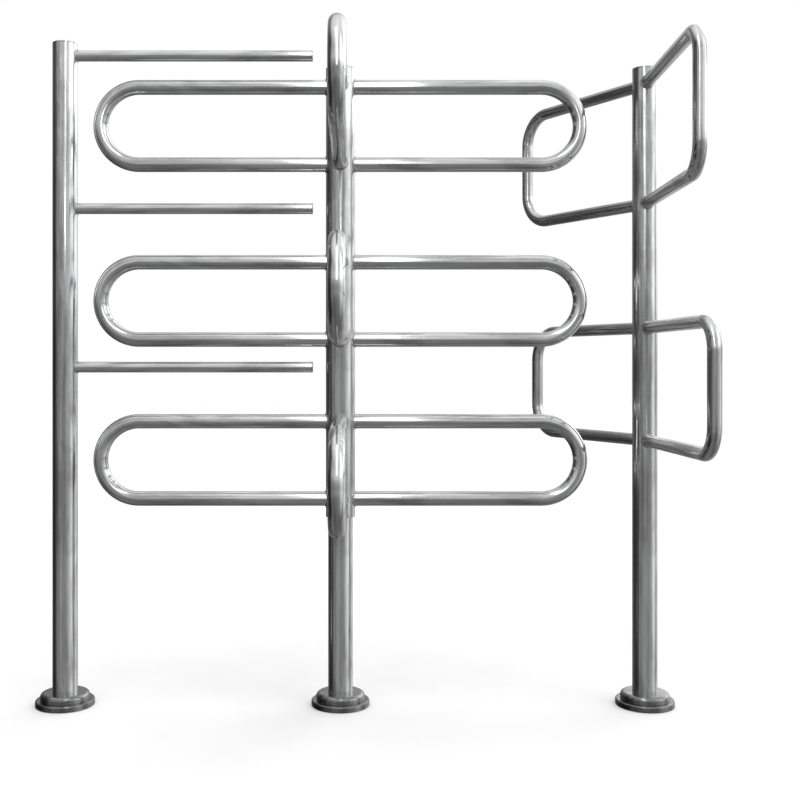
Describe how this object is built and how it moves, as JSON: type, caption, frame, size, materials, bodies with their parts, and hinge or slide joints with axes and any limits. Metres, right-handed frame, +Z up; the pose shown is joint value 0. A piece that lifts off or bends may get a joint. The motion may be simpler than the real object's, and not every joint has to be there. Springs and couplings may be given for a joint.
{
  "type": "walk-through turnstile",
  "caption": "One-way walk-through turnstile: a rotor of stacked looped tube wings on a floor post, between a comb post with level bars and a guide post with bent tube loops.",
  "frame": {"origin": "rotor axis at floor level, the centre of the centre flange's underside", "axes": "+X from the rotor axis to the guide post, +Y in the walking direction towards the exit side, +Z up along the rotor axis"},
  "size_m": [1.32, 1.022, 1.368],
  "materials": {
    "polished_tube": "mirror-polished stainless tube",
    "turned_cap": "turned and polished",
    "floor_flange": "polished, scuffed",
    "spun_cover": "spun and polished sheet",
    "machined_steel": "turned",
    "bearing_steel": "ground",
    "hardened_steel": "hardened and oiled",
    "spring_steel": "blued",
    "cage_brass": "stamped",
    "bush_bronze": "sintered, oiled",
    "bush_acetal": "turned acetal",
    "sensor_body": "moulded",
    "magnet": "nickel plated"
  },
  "bodies": {
    "floor_frame": {"comb_flange": "floor_flange", "comb_flange_cover": "spun_cover", "comb_post": "polished_tube", "comb_post_cap": "turned_cap", "comb_bar_plugs": "turned_cap", "comb_bar_bottom": "polished_tube", "comb_bar_middle": "polished_tube", "comb_bar_top": "polished_tube", "centre_flange": "floor_flange", "centre_flange_cover": "spun_cover", "centre_post": "polished_tube", "post_head": "machined_steel", "bearing_lower_race": "bearing_steel", "ratchet_wheel": "hardened_steel", "spindle_washer": "machined_steel", "spindle_nut": "machined_steel", "counter_sensor": "sensor_body", "guide_flange": "floor_flange", "guide_flange_cover": "spun_cover", "guide_post": "polished_tube", "guide_post_cap": "turned_cap", "lower_guide_entry": "polished_tube", "lower_guide_exit": "polished_tube", "upper_guide_entry": "polished_tube", "upper_guide_exit": "polished_tube"},
    "rotor": {"rotor_sleeve": "polished_tube", "rotor_cap": "turned_cap", "rotor_hub": "machined_steel", "hub_bush": "bush_bronze", "bearing_upper_race": "bearing_steel", "sleeve_bush_lower": "bush_acetal", "sleeve_bush_upper": "bush_acetal", "counter_magnets": "magnet", "pawl_pins": "machined_steel", "pawl_spring_a": "spring_steel", "pawl_spring_b": "spring_steel", "lower_wing_guide_side": "polished_tube", "lower_wing_exit_side": "polished_tube", "lower_wing_comb_side": "polished_tube", "lower_wing_entry_side": "polished_tube", "centre_wing_guide_side": "polished_tube", "centre_wing_exit_side": "polished_tube", "centre_wing_comb_side": "polished_tube", "centre_wing_entry_side": "polished_tube", "upper_wing_guide_side": "polished_tube", "upper_wing_exit_side": "polished_tube", "upper_wing_comb_side": "polished_tube", "upper_wing_entry_side": "polished_tube"},
    "ball_cage": {"bearing_cage": "cage_brass", "bearing_balls": "bearing_steel"},
    "pawl_a": {"pawl_a": "hardened_steel"},
    "pawl_b": {"pawl_b": "hardened_steel"}
  },
  "joints": [
    {"name": "rotor_spin", "type": "hinge", "parent": "floor_frame", "child": "rotor", "pos_m": [0, 0, 0], "axis": [0, 0, 1], "continuous": true},
    {"name": "ball_cage_roll", "type": "hinge", "parent": "floor_frame", "child": "ball_cage", "pos_m": [0, 0, 1.2455], "axis": [0, 0, 1], "continuous": true},
    {"name": "pawl_a_lift", "type": "hinge", "parent": "rotor", "child": "pawl_a", "pos_m": [0.01446, 0.01724, 1.27], "axis": [0, 0, 1], "range_deg": [0, 12], "stiffness_Nm_per_rad": 0.02, "springref_deg": -5.73, "deforming": ["pawl_spring_a"]},
    {"name": "pawl_b_lift", "type": "hinge", "parent": "rotor", "child": "pawl_b", "pos_m": [-0.01446, -0.01724, 1.27], "axis": [0, 0, 1], "range_deg": [0, 12], "stiffness_Nm_per_rad": 0.02, "springref_deg": -5.73, "deforming": ["pawl_spring_b"]}
  ]
}
